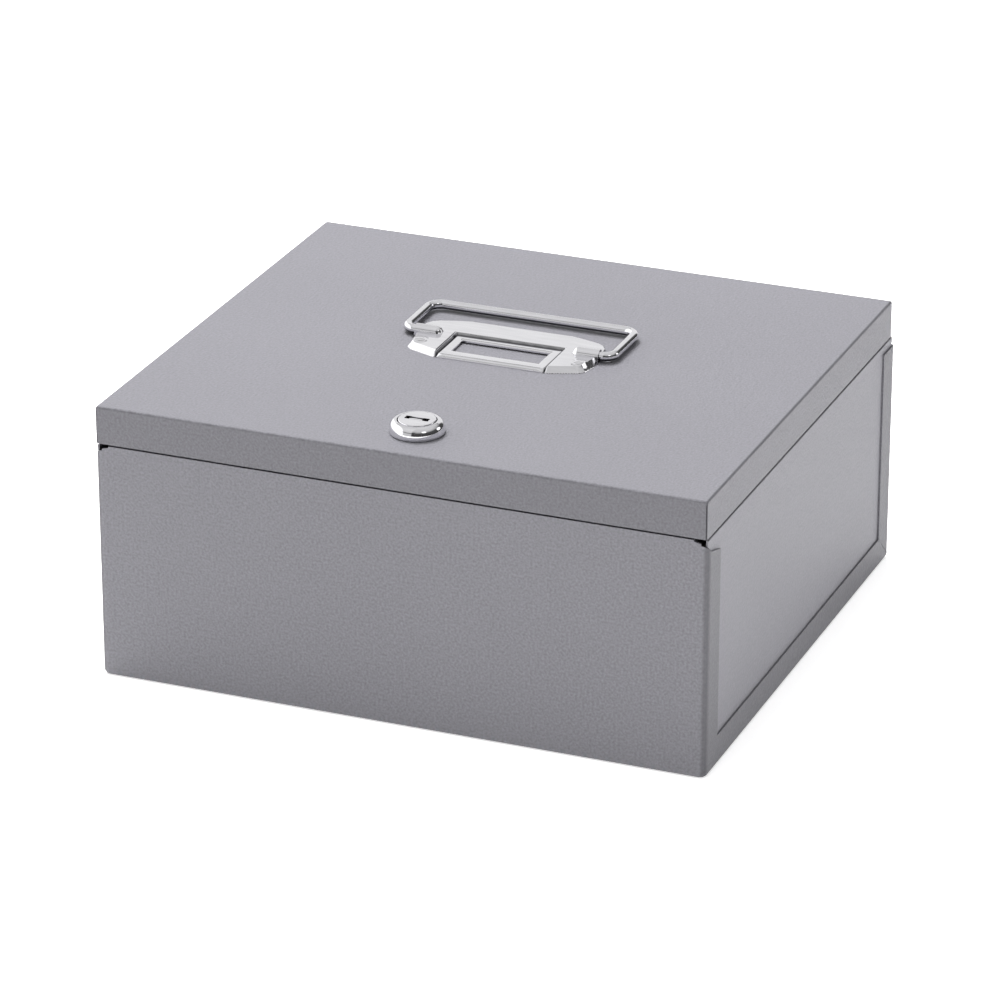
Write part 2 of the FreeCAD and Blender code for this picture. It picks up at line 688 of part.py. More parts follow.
def handle_plate():
    """Pressed plate: two lobes, a lower label frame between them, and the bail's tunnels."""
    body = part_body("handle_plate")
    right_side = [("30.5", "-21"), ("45", "-15.5"), ("47.6", "-12.5"), ("49.2", "-4"),
                  ("49.4", "5"), ("48.8", "13.5"), ("46.4", "17.6"), ("43", "19.8"),
                  ("35", "21.8"), ("27", "24.4")]
    left_side = [(f"-{x}", y) for x, y in reversed(right_side)]
    sketch = new_sketch(body, "XY_Plane", "box_height")
    outline(sketch, right_side + left_side)
    extrude(body, "Pad", sketch, "plate_height")
    round_edges(body, "plate_edge", lambda e: level(e, "box_height + plate_height"))
    frame_half = "window_width/2 + frame_border"
    block(body, "Pocket", (f"-({frame_half})", frame_half), ("-23", "frame_rear"),
          ("box_height + frame_height", "box_height + plate_height"))
    block(body, "Pocket", ("-window_width/2", "window_width/2"), ("-window_front", "window_rear"),
          ("box_height", "box_height + frame_height"))
    # hollows behind the pressing
    hollow_top = "box_height + plate_height - plate_gauge"
    block(body, "Pocket", ("-34", "34"), ("frame_rear + plate_gauge", "20"),
          ("box_height", hollow_top))
    for low, high in (("33", "44.5"), ("-44.5", "-33")):
        block(body, "Pocket", (low, high), ("-13.5", "-2"), ("box_height", hollow_top))
    tunnel = pad(body, "YZ_Plane", "tunnel_start", "tunnel_end - tunnel_start",
                 lambda s: outline(s, [("bail_pivot + tunnel_radius", "box_height"),
                                       ("bail_pivot + tunnel_radius", BAIL_HEIGHT),
                                       ("bail_pivot - tunnel_radius", BAIL_HEIGHT),
                                       ("bail_pivot - tunnel_radius", "box_height")],
                                   {1: f"tunnel_radius*{HALF_TURN}"}))
    mirrored(body, tunnel)
    bore = pocket(body, "YZ_Plane", "bail_end - gauge/2", "tunnel_end - bail_end + gauge",
                  lambda s: circle(s, "bail_pivot", BAIL_HEIGHT, "bail_rod + running_gap"))
    mirrored(body, bore)
    for side in ("", "-"):
        drill(body, f"{side}rivet_across", "-rivet_along", "rivet_radius", "box_height",
              "box_height + plate_height")
    return body


def handle_rivets():
    """Two rivets through the plate and the lid's top."""
    body = part_body("handle_rivets")
    sides = ("rivet_across", "-rivet_across")
    top = "box_height + plate_height"
    tail = f"{LID_INSIDE} - rivet_dome"
    pad(body, "XY_Plane", top, "rivet_dome",
        lambda s: [circle(s, x, "-rivet_along", "rivet_head") for x in sides])
    round_edges(body, "head_round", lambda e: level(e, f"{top} + rivet_dome"))
    pad(body, "XY_Plane", tail, "rivet_dome + gauge + plate_height",
        lambda s: [circle(s, x, "-rivet_along", "rivet_radius") for x in sides])
    pad(body, "XY_Plane", tail, "rivet_dome",
        lambda s: [circle(s, x, "-rivet_along", "rivet_head") for x in sides])


def bail():
    """Round rod bent to a U whose ends turn inwards into the plate's tunnels."""
    body = part_body("bail")
    path = new_sketch(body, "XY_Plane", BAIL_HEIGHT)
    reach = "bail_pivot + bail_reach"
    bend, elbow = value("corner_bend"), value("elbow_radius")
    far, near_x = value("bail_corner"), value("bail_elbow")
    back, front = value(reach), value("bail_pivot")
    up = Vector(0, 0, 1)
    corner = Part.Circle(Vector(far - bend, back - bend, 0), up, bend)
    lower = Part.Circle(Vector(near_x - elbow, front + elbow, 0), up, elbow)
    crossbar = path.addGeometry(Part.LineSegment(Vector(0, back, 0), Vector(far - bend, back, 0)))
    rear_bend = path.addGeometry(Part.ArcOfCircle(corner, 0, math.pi / 2))
    arm = path.addGeometry(Part.LineSegment(Vector(far, back - bend, 0),
                                            Vector(near_x, front + elbow, 0)))
    front_bend = path.addGeometry(Part.ArcOfCircle(lower, -math.pi / 2, 0))
    end = path.addGeometry(Part.LineSegment(Vector(near_x - elbow, front, 0),
                                            Vector(value("bail_end"), front, 0)))
    path.addConstraint([Sketcher.Constraint("Tangent", crossbar, 2, rear_bend, 2),
                        Sketcher.Constraint("Tangent", rear_bend, 1, arm, 1),
                        Sketcher.Constraint("Tangent", arm, 2, front_bend, 2),
                        Sketcher.Constraint("Tangent", front_bend, 1, end, 1),
                        Sketcher.Constraint("Horizontal", crossbar),
                        Sketcher.Constraint("Horizontal", end)])
    bind(path, "DistanceX", -1, 1, crossbar, 1, to="0")
    bind(path, "DistanceY", -1, 1, crossbar, 1, to=reach)
    bind(path, "DistanceX", -1, 1, end, 2, to="bail_end")
    bind(path, "DistanceY", -1, 1, end, 2, to="bail_pivot")
    bind(path, "Radius", rear_bend, to="corner_bend")
    bind(path, "Radius", front_bend, to="elbow_radius")
    bind(path, "DistanceX", -1, 1, rear_bend, 3, to="bail_corner - corner_bend")
    bind(path, "DistanceX", -1, 1, front_bend, 3, to="bail_elbow - elbow_radius")
    doc.recompute()
    section = new_sketch(body, "YZ_Plane")
    circle(section, reach, BAIL_HEIGHT, "bail_rod")
    doc.recompute()
    rod = body.newObject("PartDesign::AdditivePipe", "bail_rod_half")
    rod.Profile = section
    rod.Spine = (path, [])
    doc.recompute()
    mirrored(body, rod)
    return body


outer_shell()
side_panel("left_side_panel", -1)
side_panel("right_side_panel", 1)
liner = inner_liner()
insulation_boards()
strike()
hinge()
lid_shell()
lid_filling()
lock_body()
lock_plug()
cam_parts()
handle_plate()
handle_rivets()
bail()
doc.recompute()

for item in doc.Objects:
    if {"Invalid", "Error"} & set(item.State):
        raise RuntimeError(f"{item.Label} is {item.State}")
os.makedirs("parts", exist_ok=True)
for node in nodes:
    shape = node.Shape
    if shape.isNull() or not shape.isValid():
        raise RuntimeError(f"{node.Label} has no valid shape")
    shape.exportStep(f"parts/{node.Label}.step")
    box = shape.BoundBox
    print(f"{node.Label:18} {len(shape.Solids)} solid(s) {shape.Volume:12.1f} mm3  "
          f"X {box.XMin:.2f} {box.XMax:.2f}  Y {box.YMin:.2f} {box.YMax:.2f}  "
          f"Z {box.ZMin:.2f} {box.ZMax:.2f}")
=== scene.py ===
import json
import math

import bmesh
import bpy
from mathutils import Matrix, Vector


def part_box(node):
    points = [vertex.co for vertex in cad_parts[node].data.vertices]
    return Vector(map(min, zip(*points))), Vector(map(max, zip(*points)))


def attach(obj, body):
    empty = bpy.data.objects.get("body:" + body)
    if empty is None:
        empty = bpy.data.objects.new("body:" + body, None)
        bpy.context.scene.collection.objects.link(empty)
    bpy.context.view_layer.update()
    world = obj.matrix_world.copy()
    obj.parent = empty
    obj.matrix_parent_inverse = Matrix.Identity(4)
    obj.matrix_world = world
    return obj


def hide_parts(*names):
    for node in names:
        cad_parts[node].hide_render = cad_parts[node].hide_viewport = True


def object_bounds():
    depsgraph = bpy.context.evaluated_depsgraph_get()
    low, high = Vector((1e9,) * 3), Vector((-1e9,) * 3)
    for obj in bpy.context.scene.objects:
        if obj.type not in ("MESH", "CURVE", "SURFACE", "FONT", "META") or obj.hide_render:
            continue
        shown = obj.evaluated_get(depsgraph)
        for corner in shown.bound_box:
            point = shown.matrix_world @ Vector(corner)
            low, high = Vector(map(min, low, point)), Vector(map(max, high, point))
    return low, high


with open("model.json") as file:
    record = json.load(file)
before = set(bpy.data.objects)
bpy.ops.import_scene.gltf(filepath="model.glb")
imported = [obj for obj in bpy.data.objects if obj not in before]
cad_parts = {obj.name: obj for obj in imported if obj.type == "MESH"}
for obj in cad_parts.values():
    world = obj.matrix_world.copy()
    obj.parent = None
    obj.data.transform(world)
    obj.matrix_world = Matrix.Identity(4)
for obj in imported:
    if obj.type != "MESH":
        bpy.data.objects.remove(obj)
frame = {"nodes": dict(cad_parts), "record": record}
CAD_LOW, CAD_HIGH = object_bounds()
MM = 0.001

PAINT = (0.214, 0.211, 0.232)

# The handle's plate and its rivets, in millimetres; heights are over the lid's top.
# The outline's right half runs from the front to the rear.
PLATE_SIDE = [(30.5, -21.0), (45.0, -15.5), (47.6, -12.5), (49.2, -4.0), (49.4, 5.0),
              (48.8, 13.5), (46.4, 17.6), (43.0, 19.8), (35.5, 22.1), (27.0, 24.4)]
PLATE_TOP, FRAME_TOP, GROOVE, GAUGE = 3.2, 2.0, 0.9, 0.8
FRAME_HALF, FRAME_REAR = 28.9, 6.8
WINDOW_HALF, WINDOW_FRONT, WINDOW_REAR = 23.5, -13.4, 1.4
PIVOT_Y, PIVOT_Z, ARCH = 3.6, 3.2, 3.18
ARCH_START = 38.3
RIVET_X, RIVET_Y = 42.6, -8.8
LOBE_SLOPE, EDGE_ROUND = 2.6, 0.9    # widths of the lobes' sloping fronts and of other edges
GROOVE_WALL, GROOVE_FOOT = 1.0, 0.9  # widths of the groove's outer and inner banks
BORDER_DROP = 0.4                    # how much lower a border's edges are than its middle
SEAT_RISE, SEAT_TOP, SEAT_FOOT = 0.35, 3.6, 4.6
SWELL_RISE, SWELL_AT, SWELL_REACH = 0.25, 34.0, 3.5
GRID = 0.55                          # longest step of the plate's mesh


class Nodes:
    """One material's node tree, with short ways to add to it."""

    def __init__(self, name, material=None):
        self.material = material or bpy.data.materials.new(name)
        self.material.use_nodes = True
        self.tree = self.material.node_tree
        self.shader = self.tree.nodes["Principled BSDF"]
        self.place = self.tree.nodes.new("ShaderNodeTexCoord").outputs["Object"]

    def add(self, kind, **settings):
        node = self.tree.nodes.new("ShaderNode" + kind)
        for key, setting in settings.items():
            if key in node.inputs:
                node.inputs[key].default_value = setting
            else:
                setattr(node, key, setting)
        return node

    def link(self, source, target):
        self.tree.links.new(source, target)

    def noise(self, scale, detail=2.0, roughness=0.5, stretch=None):
        """Noise of this many cells to the metre, over the object's own coordinates."""
        texture = self.add("TexNoise", Scale=scale, Detail=detail, Roughness=roughness)
        self.link(self.stretched(stretch), texture.inputs["Vector"])
        return texture.outputs["Fac"]

    def stretched(self, stretch):
        if stretch is None:
            return self.place
        mapping = self.add("Mapping")
        mapping.inputs["Scale"].default_value = stretch
        self.link(self.place, mapping.inputs["Vector"])
        return mapping.outputs["Vector"]

    def remap(self, source, low, high, to_low=0.0, to_high=1.0, clamp=True):
        node = self.add("MapRange", clamp=clamp)
        for key, number in zip(("From Min", "From Max", "To Min", "To Max"),
                               (low, high, to_low, to_high)):
            node.inputs[key].default_value = number
        self.link(source, node.inputs["Value"])
        return node.outputs["Result"]

    def mix(self, factor, first, second):
        node = self.add("Mix", data_type="RGBA")
        node.inputs["A"].default_value = first
        node.inputs["B"].default_value = second
        self.link(factor, node.inputs["Factor"])
        return node.outputs["Result"]

    def maths(self, operation, first, second):
        node = self.add("Math", operation=operation)
        for socket, term in zip(node.inputs, (first, second)):
            if isinstance(term, (int, float)):
                socket.default_value = term
            else:
                self.link(term, socket)
        return node.outputs["Value"]

    def bump(self, height, distance, strength=1.0, under=None):
        node = self.add("Bump", Strength=strength, Distance=distance)
        self.link(height, node.inputs["Height"])
        if under is not None:
            self.link(under, node.inputs["Normal"])
        return node.outputs["Normal"]

    def finish(self, color=None, rough=None, normal=None, **sockets):
        for key, source in (("Base Color", color), ("Roughness", rough), ("Normal", normal)):
            if source is not None:
                self.link(source, self.shader.inputs[key])
        for key, number in sockets.items():
            self.shader.inputs[key.replace("_", " ")].default_value = number
        return self.material


def pebbled_paint_and_painted_shade(name, upright_painted_shade, top, flank_painted_shade=1.0):
    """Grey powder coat with a pebbled skin, which shows most on the front and the back.

    The colour carries painted shade: upright faces take one factor, faces that look up take top,
    and flank darkens faces that look sideways."""
    n = Nodes(name)
    pebbles = n.noise(820, detail=1.2, roughness=0.5)
    broad = n.noise(9, detail=3)
    facing = n.add("SeparateXYZ")
    n.link(n.place.node.outputs["Normal"], facing.inputs["Vector"])
    front_on = n.maths("POWER", facing.outputs["Y"], 2.0)
    upward = n.maths("POWER", facing.outputs["Z"], 2.0)
    depth = n.maths("ADD", n.maths("MULTIPLY", front_on, 0.16),
                    n.maths("MULTIPLY", upward, 0.12))
    swing = n.maths("MULTIPLY", n.remap(pebbles, 0.3, 0.7, -1.0, 1.0, clamp=False), depth)
    tone_and_painted_shade = n.maths("ADD", swing, n.remap(broad, 0.3, 0.7, 0.985, 1.015))
    # painted shade: darker on the bends at the sides and on faces that look down
    sideways = n.maths("ABSOLUTE", facing.outputs["X"], 0.0)
    square = n.maths("MULTIPLY", sideways, sideways)
    bend_shade_mask = n.maths("MULTIPLY", square, n.maths("SUBTRACT", 1.0, square))
    tone_and_painted_shade = n.maths("MULTIPLY", tone_and_painted_shade, n.remap(bend_shade_mask, 0.05, 0.22, 1.0, 0.62))
    tone_and_painted_shade = n.maths("MULTIPLY", tone_and_painted_shade, n.remap(facing.outputs["Z"], -0.9, -0.3, 0.5, 1.0))
    # painted light and shade: upright faces scaled by one factor, faces that look up by top
    tone_and_painted_shade = n.maths("MULTIPLY", tone_and_painted_shade, n.remap(facing.outputs["Z"], 0.5, 0.95, upright_painted_shade, top))
    # painted shade on faces that look sideways
    tone_and_painted_shade = n.maths("MULTIPLY", tone_and_painted_shade, n.remap(sideways, 0.7, 0.98, 1.0, flank_painted_shade))
    tone = n.add("VectorMath", operation="SCALE")
    tone.inputs[0].default_value = PAINT
    n.link(tone_and_painted_shade, tone.inputs["Scale"])
    rough = n.remap(pebbles, 0.3, 0.7, 0.5, 0.6)
    normal = n.bump(pebbles, 0.0003)
    return n.finish(tone.outputs["Vector"], rough, normal, Specular_IOR_Level=0.3)


def smooth_paint():
    """The liner's smoother coat of the same grey."""
    n = Nodes("smooth_paint")
    broad = n.noise(14, detail=4)
    tone = n.mix(n.remap(broad, 0.3, 0.7), (0.20, 0.197, 0.212, 1), (0.225, 0.222, 0.238, 1))
    normal = n.bump(n.noise(700, detail=2), 0.00005)
    return n.finish(tone, n.remap(broad, 0.3, 0.7, 0.38, 0.5), normal)


def chrome():
    """Bright plating over pressed steel, with faint ripples and wiped marks."""
    n = Nodes("chrome")
    ripple = n.noise(160, detail=1)
    smear = n.noise(60, detail=3, stretch=(1, 6, 6))
    tone = n.mix(n.remap(smear, 0.3, 0.7), (0.78, 0.775, 0.80, 1), (0.85, 0.845, 0.87, 1))
    normal = n.bump(ripple, 0.00006)
    return n.finish(tone, n.remap(smear, 0.3, 0.75, 0.05, 0.12), normal, Metallic=1.0)


def grooved_chrome():
    """The plate's chrome, darkened in the groove round the label frame."""
    material = chrome()
    material.name = "grooved_chrome"
    n = Nodes(material.name, material)
    place = n.add("SeparateXYZ")
    n.link(n.place, place.inputs["Vector"])
    beside = n.maths("SUBTRACT", n.maths("ABSOLUTE", place.outputs["X"], 0.0), FRAME_HALF * MM)
    behind = n.maths("SUBTRACT", place.outputs["Y"], FRAME_REAR * MM)
    past = n.maths("ABSOLUTE", n.maths("MAXIMUM", beside, behind), 0.0)
    # 0 in the groove round the label frame and 1 away from it; the colour is darkened in the
    # groove
    outside_groove = n.remap(past, 0.35 * MM, 0.8 * MM)
    plating = n.shader.inputs["Base Color"].links[0].from_socket
    tone = n.mix(outside_groove, (0.16, 0.16, 0.17, 1), (1, 1, 1, 1))
    n.link(plating, tone.node.inputs["B"])
    return n.finish(tone)


def bail_chrome():
    """The bail's chrome, with a painted dark reflection on the low inner side of the loop.

    It stands in for a dark line that these surroundings don't give."""
    material = chrome()
    material.name = "bail_chrome"
    n = Nodes(material.name, material)
    facing = n.add("SeparateXYZ")
    n.link(n.place.node.outputs["Normal"], facing.inputs["Vector"])
    place = n.add("SeparateXYZ")
    n.link(n.place, place.inputs["Vector"])
    side = n.maths("MULTIPLY", n.maths("SIGN", place.outputs["X"], 0.0), facing.outputs["X"])
    inward = n.maths("MAXIMUM", n.maths("MULTIPLY", facing.outputs["Y"], -1.0),
                     n.maths("MULTIPLY", side, -1.0))
    # painted dark reflection on the low, inward-facing underside of the loop
    painted_dark_reflection = n.maths("MULTIPLY", n.remap(inward, 0.05, 0.25),
                    n.remap(facing.outputs["Z"], -0.12, -0.30))
    plating = n.shader.inputs["Base Color"].links[0].from_socket
    tone = n.mix(painted_dark_reflection, (1, 1, 1, 1), (0.12, 0.12, 0.13, 1))
    n.link(plating, tone.node.inputs["A"])
    return n.finish(tone)


def zinc():
    """Zinc-plated steel with drawn streaks."""
    n = Nodes("zinc")
    streaks = n.noise(900, detail=2, stretch=(0.05, 1, 1))
    cloud = n.noise(120, detail=4)
    tone = n.mix(n.remap(cloud, 0.3, 0.7), (0.50, 0.50, 0.48, 1), (0.62, 0.62, 0.60, 1))
    normal = n.bump(streaks, 0.00003)
    return n.finish(tone, n.remap(cloud, 0.3, 0.7, 0.28, 0.42), normal, Metallic=1.0)


def satin_steel():
    n = Nodes("satin_steel")
    grain = n.noise(2400, detail=2, stretch=(0.08, 1, 1))
    tone = n.mix(n.remap(grain, 0.3, 0.7), (0.62, 0.62, 0.63, 1), (0.74, 0.74, 0.75, 1))
    return n.finish(tone, n.remap(grain, 0.3, 0.7, 0.22, 0.34),
                    n.bump(grain, 0.00002), Metallic=1.0)


def mineral_board():
    """Off-white fire board with fibres and pores."""
    n = Nodes("mineral_board")
    fibres = n.noise(420, detail=4, stretch=(1, 0.2, 1))
    pores = n.noise(1100, detail=2)
    tone = n.mix(n.remap(fibres, 0.3, 0.7), (0.60, 0.58, 0.52, 1), (0.74, 0.72, 0.66, 1))
    return n.finish(tone, n.remap(pores, 0.3, 0.7, 0.8, 0.95), n.bump(pores, 0.0004))


def floor_paper():
    """White paper with a little light of its own, like a lit table."""
    n = Nodes("floor_paper")
    fibre = n.noise(60, detail=3)
    tone = n.mix(n.remap(fibre, 0.3, 0.7), (0.90, 0.90, 0.90, 1), (0.92, 0.92, 0.92, 1))
    return n.finish(tone, n.remap(fibre, 0.3, 0.7, 0.75, 0.85), Specular_IOR_Level=0.0,
                    Emission_Color=(1, 1, 1, 1), Emission_Strength=0.58)


def paint_nodes():
    """Every CAD node gets its finish from the slot that the record gives it."""
    # the grey paint's two factors are painted shade, for upright faces and for faces that look
    # up
    finishes = {"grey_paint": pebbled_paint_and_painted_shade("pebbled_paint_and_painted_shade", 0.91, 0.75),
                "liner_paint": smooth_paint(), "chrome": chrome(), "zinc": zinc(),
                "shutter_steel": satin_steel(), "insulation": mineral_board()}
    for entry in frame["record"]["subparts"]:
        node = frame["nodes"][entry["node"]]
        node.data.materials.clear()
        node.data.materials.append(finishes[entry["material_slot"]])
    # painted shade: factors fitted under these lamps, for each sheet and for the way its faces
    # look
    for name, *shades in (("lid_shell", 0.70, 0.90, 1.08), ("outer_shell", 0.86, 0.75, 0.70)):
        frame["nodes"][name].data.materials[0] = pebbled_paint_and_painted_shade(f"{name}_paint", *shades)
    frame["nodes"]["bail"].data.materials[0] = bail_chrome()
    return finishes


def mesh_piece(name, verts, faces, body, slot, material, *nodes):
    """A mesh in metres that rides on a body and stands in for CAD nodes."""
    mesh = bpy.data.meshes.new(name)
    mesh.from_pydata(verts, [], faces)
    mesh.validate()
    mesh.shade_smooth()
    mesh.set_sharp_from_angle(angle=math.radians(40))
    piece = bpy.data.objects.new(name, mesh)
    bpy.context.collection.objects.link(piece)
    mesh.materials.append(material)
    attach(piece, body)
    if nodes:
        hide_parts(*nodes)


def smooth(x, low, high):
    """Eased step from 0 at low to 1 at high."""
    t = min(max((x - low) / (high - low), 0.0), 1.0)
    return t * t * (3 - 2 * t)


def plate_edges():
    """Outline's sides as (point, inward normal, width of its slope)."""
    ring = PLATE_SIDE + [(-x, y) for x, y in reversed(PLATE_SIDE)]
    sides = []
    for (x0, y0), (x1, y1) in zip(ring, ring[1:] + ring[:1]):
        length = math.hypot(x1 - x0, y1 - y0)
        inward = (-(y1 - y0) / length, (x1 - x0) / length)
        middle = (y0 + y1) / 2
        lobe_front = PLATE_SIDE[0][1] < middle < -5 and abs(x0 + x1) > 2 * FRAME_HALF
        sides.append(((x0, y0), inward, LOBE_SLOPE if lobe_front else EDGE_ROUND))
    return sides


def plate_height(x, y, sides):
    """Height of the pressing's upper face over the lid."""
    rim = 1.0
    for (px, py), (nx, ny), width in sides:
        inside = (x - px) * nx + (y - py) * ny
        rise = min(max(inside / width, 0.0), 1.0)
        if width == EDGE_ROUND:
            rise = math.sqrt(1 - (1 - rise) ** 2)
        rim = min(rim, rise)
    # how far outside the label frame's recess this point is
    past = max(abs(x) - FRAME_HALF, y - FRAME_REAR)
    lobe = PLATE_TOP - (PLATE_TOP - GROOVE) * (1 - smooth(past, 0.0, GROOVE_WALL))
    low = FRAME_TOP - (FRAME_TOP - GROOVE) * smooth(past, -GROOVE_FOOT, 0.0)
    # the label frame's borders are a little rounded across
    beyond = max(abs(x) - WINDOW_HALF, y - WINDOW_REAR, WINDOW_FRONT - y, 0.0)
    before = max(min(-past, y - PLATE_SIDE[0][1]), 0.0)
    across = 2 * beyond / max(beyond + before, 0.01) - 1
    low -= BORDER_DROP * across ** 2
    height = lobe if past > 0 else low
    # raised seats round the rivets
    seat = math.hypot(abs(x) - RIVET_X, y - RIVET_Y)
    height += SEAT_RISE * (1 - smooth(seat, SEAT_TOP, SEAT_FOOT))
    # a shallow swelling that leads into each tunnel
    lead = math.hypot((abs(x) - SWELL_AT) / 2.2, (y - PIVOT_Y) / 1.6)
    height += SWELL_RISE * (1 - smooth(lead, 0.0, SWELL_REACH))
    height *= 0.03 + 0.97 * rim
    start = max(0.0, ARCH_START - abs(x))
    reach = ARCH ** 2 - (y - PIVOT_Y) ** 2 - start ** 2
    if reach > 0:
        height = max(height, PIVOT_Z + math.sqrt(reach))
    return height


def spread(stops, step):
    """Values that hold every stop, no further apart than step."""
    values = []
    for low, high in zip(stops, stops[1:]):
        count = max(1, math.ceil((high - low) / step))
        values += [low + (high - low) * k / count for k in range(count)]
    return values + [stops[-1]]


def handle_plate_piece(material):
    """Pressed chrome plate: lobes with sloping fronts, label frame, window and tunnels."""
    sides = plate_edges()
    arch = [PIVOT_Y + ARCH * math.sin(math.radians(a)) for a in range(-90, 91, 10)]
    bank = [0.0, 0.3, 0.7, GROOVE_WALL]
    half = [0.0, 12.0, WINDOW_HALF, FRAME_HALF - GROOVE_FOOT, FRAME_HALF - GROOVE_FOOT / 2]
    half += [FRAME_HALF + out for out in bank]
    half += [ARCH_START - ARCH, ARCH_START - 0.7 * ARCH, ARCH_START, 49.4]
    xs = spread([-x for x in reversed(half[1:])] + half, GRID)
    front = spread([-21.0, -20.1, WINDOW_FRONT, -5.0, arch[0]], 0.5)
    rear = spread([arch[-1]] + [FRAME_REAR + out for out in bank] + [23.5, 24.4], 0.5)
    ys = sorted(set(front + arch + rear + [WINDOW_REAR]))
    work = bmesh.new()
    grid = [[work.verts.new((x, y, 0)) for y in ys] for x in xs]
    for i in range(len(xs) - 1):
        for j in range(len(ys) - 1):
            middle_x, middle_y = (xs[i] + xs[i + 1]) / 2, (ys[j] + ys[j + 1]) / 2
            if abs(middle_x) < WINDOW_HALF and WINDOW_FRONT < middle_y < WINDOW_REAR:
                continue
            work.faces.new((grid[i][j], grid[i + 1][j], grid[i + 1][j + 1], grid[i][j + 1]))
    for (px, py), (nx, ny), width in sides:
        for inset in (0.0, 0.15 * width, 0.5 * width, width):
            everything = work.verts[:] + work.edges[:] + work.faces[:]
            bmesh.ops.bisect_plane(work, geom=everything, dist=1e-5,
                                   plane_co=(px + nx * inset, py + ny * inset, 0),
                                   plane_no=(nx, ny, 0), clear_inner=inset == 0.0)
    loose = [v for v in work.verts if not v.link_faces]
    bmesh.ops.delete(work, geom=loose, context="VERTS")
    for v in work.verts:
        v.co.z = plate_height(v.co.x, v.co.y, sides)
    rim = [e for e in work.edges if e.is_boundary]
    copy = bmesh.ops.duplicate(work, geom=work.faces[:])
    twin = copy["vert_map"]
    under = [g for g in copy["geom"] if isinstance(g, bmesh.types.BMFace)]
    under_verts = {v for f in under for v in f.verts}
    for v in under_verts:
        v.co.z = max(v.co.z - GAUGE, 0.0)
    bmesh.ops.reverse_faces(work, faces=under)
    for e in rim:
        first, second = e.verts
        work.faces.new((first, second, twin[second], twin[first]))
    bmesh.ops.recalc_face_normals(work, faces=work.faces[:])
    top = lid_top()
    for v in work.verts:
        v.co = Vector((v.co.x * MM, v.co.y * MM, top + v.co.z * MM))
    mesh = bpy.data.meshes.new("pressed_plate")
    work.to_mesh(mesh)
    work.free()
    mesh.shade_smooth()
    mesh.set_sharp_from_angle(angle=math.radians(50))
    piece = bpy.data.objects.new("pressed_plate", mesh)
    bpy.context.collection.objects.link(piece)
    mesh.materials.append(material)
    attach(piece, "lid")
    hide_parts("handle_plate")


def lid_top():
    """Height of the lid's top face."""
    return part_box("lid_shell")[1].z


def lathe(name, profile, centre, body, slot, material, *nodes, steps=96):
    """Profile of (radius, height) in millimetres, turned round the upright through centre."""
    verts = []
    for k in range(steps):
        turn = 2 * math.pi * k / steps
        verts += [(centre[0] + r * math.cos(turn) * MM, centre[1] + r * math.sin(turn) * MM,
                   centre[2] + z * MM) for r, z in profile]
    count = len(profile)
    faces = []
    for k in range(steps):
        here, after = k * count, (k + 1) % steps * count
        faces += [(here + n, after + n, after + n + 1, here + n + 1) for n in range(count - 1)]
    mesh_piece(name, verts, faces, body, slot, material, *nodes)


def arc(cx, cz, radius, first, last, count):
    """Points of an arc in a profile; angles in degrees from the outward direction."""
    return [(cx + radius * math.cos(math.radians(first + (last - first) * k / count)),
             cz + radius * math.sin(math.radians(first + (last - first) * k / count)))
            for k in range(count + 1)]


def rivet_pieces(material):
    """Low heads of the plate's two rivets, and their tails under the lid's top."""
    base = lid_top() + PLATE_TOP * MM
    profile = [(0.0, -6.1), (2.0, -6.0), (2.8, -5.4), (2.9, -4.3), (1.5, -4.2), (1.5, 0.0),
               (2.9, 0.1), (2.9, 0.45)]
    profile += arc(0.0, -6.3, 7.3, 67, 90, 6)
    for name, side in (("rivet_left", -1), ("rivet_right", 1)):
        centre = (side * RIVET_X * MM, RIVET_Y * MM, base)
        lathe(name, profile, centre, "lid", "chrome", material, "handle_rivets", steps=48)


def shutter_piece(material):
    """Oval dust shutter with a slightly domed face, set back in the plug's slot."""
    low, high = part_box("keyway_shutter")
    middle = ((low.x + high.x) / 2 + 0.7 * MM, (low.y + high.y) / 2)
    half_x, half_y, steps, rings = 3.4 * MM, 1.15 * MM, 48, 5
    verts, faces = [], []
    for ring in range(rings + 1):
        # a ring at the foot, then rings that close towards the middle
        size = 1.0 if ring < 2 else 1.0 - (ring - 1) / rings
        height = low.z if ring == 0 else high.z - 0.25 * MM * size ** 3
        for k in range(steps):
            turn = 2 * math.pi * k / steps
            c, q = math.cos(turn), math.sin(turn)
            x = half_x * size * math.copysign(abs(c) ** 0.6, c)
            y = half_y * size * math.copysign(abs(q) ** 0.6, q)
            verts.append((middle[0] + x, middle[1] + y, height))
    for ring in range(rings):
        for k in range(steps):
            after = (k + 1) % steps
            faces.append((ring * steps + k, ring * steps + after,
                          (ring + 1) * steps + after, (ring + 1) * steps + k))
    faces.append(tuple(rings * steps + k for k in range(steps)))
    faces.append(tuple(reversed(range(steps))))
    mesh_piece("shutter_face", verts, faces, "shutter", "shutter_steel", material,
               "keyway_shutter")


def bezel_piece(material):
    """Domed chrome collar with a rolled foot and a narrow land round the plug."""
    low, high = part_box("lock_bezel")
    centre = (0.0, (low.y + high.y) / 2, lid_top())
    profile = [(9.72, 0.05), (13.0, 0.0), (13.45, 0.35)]
    for k in range(25):
        lean = math.radians(90 * k / 24)
        profile.append((10.05 + 3.6 * math.cos(lean), 1.3 + 5.35 * math.sin(lean) ** 0.9))
    profile += [(9.85, 6.6), (9.72, 6.4), (9.72, 0.05)]
    lathe("bezel_dome", profile, centre, "lid", "chrome", material, "lock_bezel")


